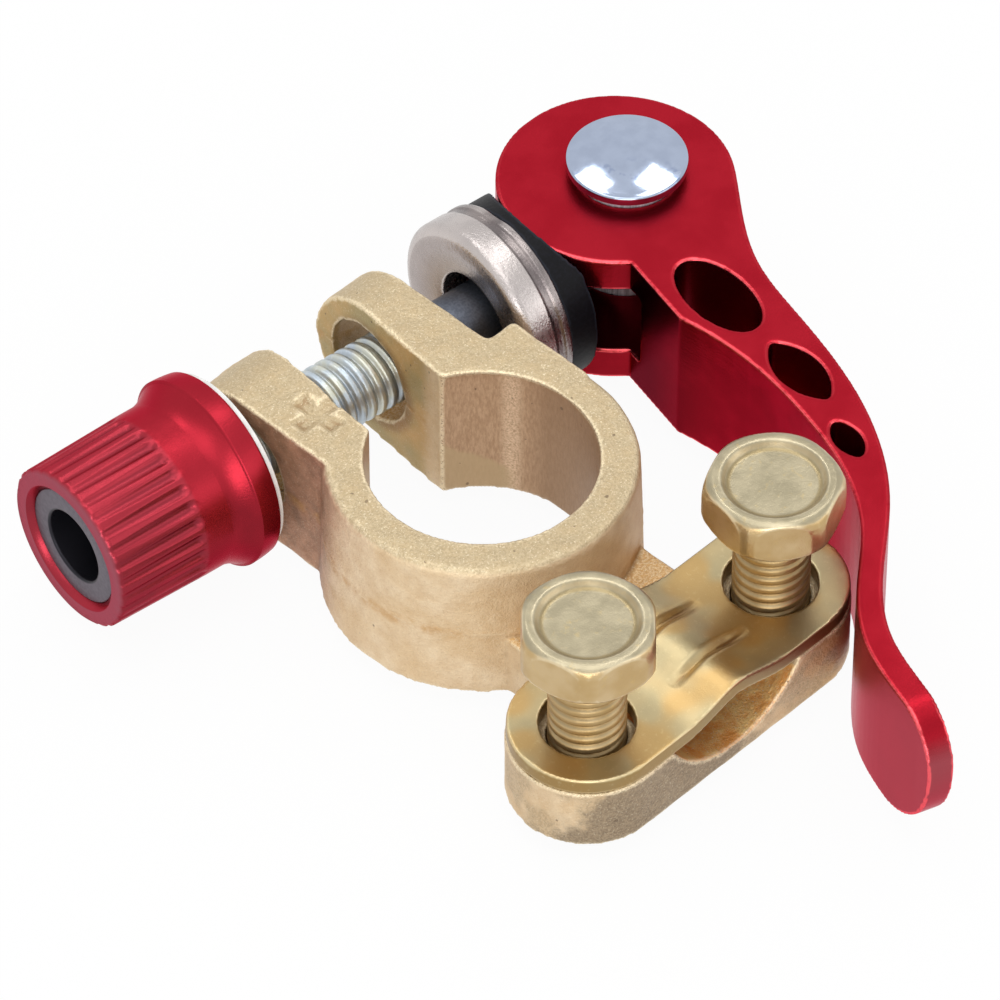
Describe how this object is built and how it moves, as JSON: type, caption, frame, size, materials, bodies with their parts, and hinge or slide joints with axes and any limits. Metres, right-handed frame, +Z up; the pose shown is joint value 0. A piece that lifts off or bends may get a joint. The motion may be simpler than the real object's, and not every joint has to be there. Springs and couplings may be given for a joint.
{
  "type": "battery terminal clamp",
  "caption": "Quick-release clamp for a vehicle battery post: a split ring drawn shut by a cam lever and a fluted adjusting nut, with a bolted strap for the cable.",
  "frame": {"origin": "on the axis of the post bore, in the plane of the casting's underside", "axes": "+Z up along the post, X along the line of the strap bolts, +Y towards the ears"},
  "size_m": [0.0641, 0.0714, 0.02],
  "materials": {
    "cast_brass": "satin, as cast",
    "yellow_zinc": "yellow zinc plated",
    "bright_zinc": "bright zinc plated",
    "red_anodised": "red anodised",
    "dark_steel": "dark",
    "white_nylon": "matt",
    "nickel": "nickel plated",
    "black_plastic": "satin"
  },
  "bodies": {
    "clamp": {"clamp_body": "cast_brass"},
    "stud": {"clamp_stud": "bright_zinc", "pivot_pin": "bright_zinc"},
    "lever": {"cam_lever": "red_anodised"},
    "thrust": {"thrust_cup": "nickel", "cam_saddle": "black_plastic"},
    "nut_carrier": {"nut_washer": "white_nylon"},
    "nut": {"adjusting_nut": "red_anodised", "nut_insert": "dark_steel"},
    "strap": {"cable_strap": "yellow_zinc"},
    "left_bolt": {"strap_bolt_left": "yellow_zinc"},
    "right_bolt": {"strap_bolt_right": "yellow_zinc"}
  },
  "joints": [
    {"name": "stud_play", "type": "hinge", "parent": "clamp", "child": "stud", "pos_m": [0, 0.0172, 0.00645], "axis": [0, 0, 1], "range_deg": [0, 6.5]},
    {"name": "lever_swing", "type": "hinge", "parent": "stud", "child": "lever", "pos_m": [0.03025, 0.01375, 0.00645], "axis": [0, 0, 1], "range_deg": [0, 180]},
    {"name": "cup_slide", "type": "slide", "parent": "stud", "child": "thrust", "axis": [-0.9936, 0.1132, 0], "range_m": [0, 0.0006]},
    {"name": "nut_travel", "type": "slide", "parent": "stud", "child": "nut_carrier", "axis": [-0.9936, 0.1132, 0], "range_m": [0, 0.004]},
    {"name": "nut_spin", "type": "hinge", "parent": "nut_carrier", "child": "nut", "pos_m": [0, 0.0172, 0.00645], "axis": [-0.9936, 0.1132, 0], "range_deg": [0, 1440]},
    {"name": "strap_lift", "type": "slide", "parent": "clamp", "child": "strap", "axis": [0, 0, 1], "range_m": [0, 0.0066]},
    {"name": "left_bolt_travel", "type": "slide", "parent": "clamp", "child": "left_bolt", "axis": [0, 0, 1], "range_m": [-0.0066, 0]},
    {"name": "right_bolt_travel", "type": "slide", "parent": "clamp", "child": "right_bolt", "axis": [0, 0, 1], "range_m": [-0.0066, 0]}
  ],
  "couplings": [
    {"joint": "nut_travel", "follows": "nut_spin", "m_per_rad": 0.00015915}
  ]
}
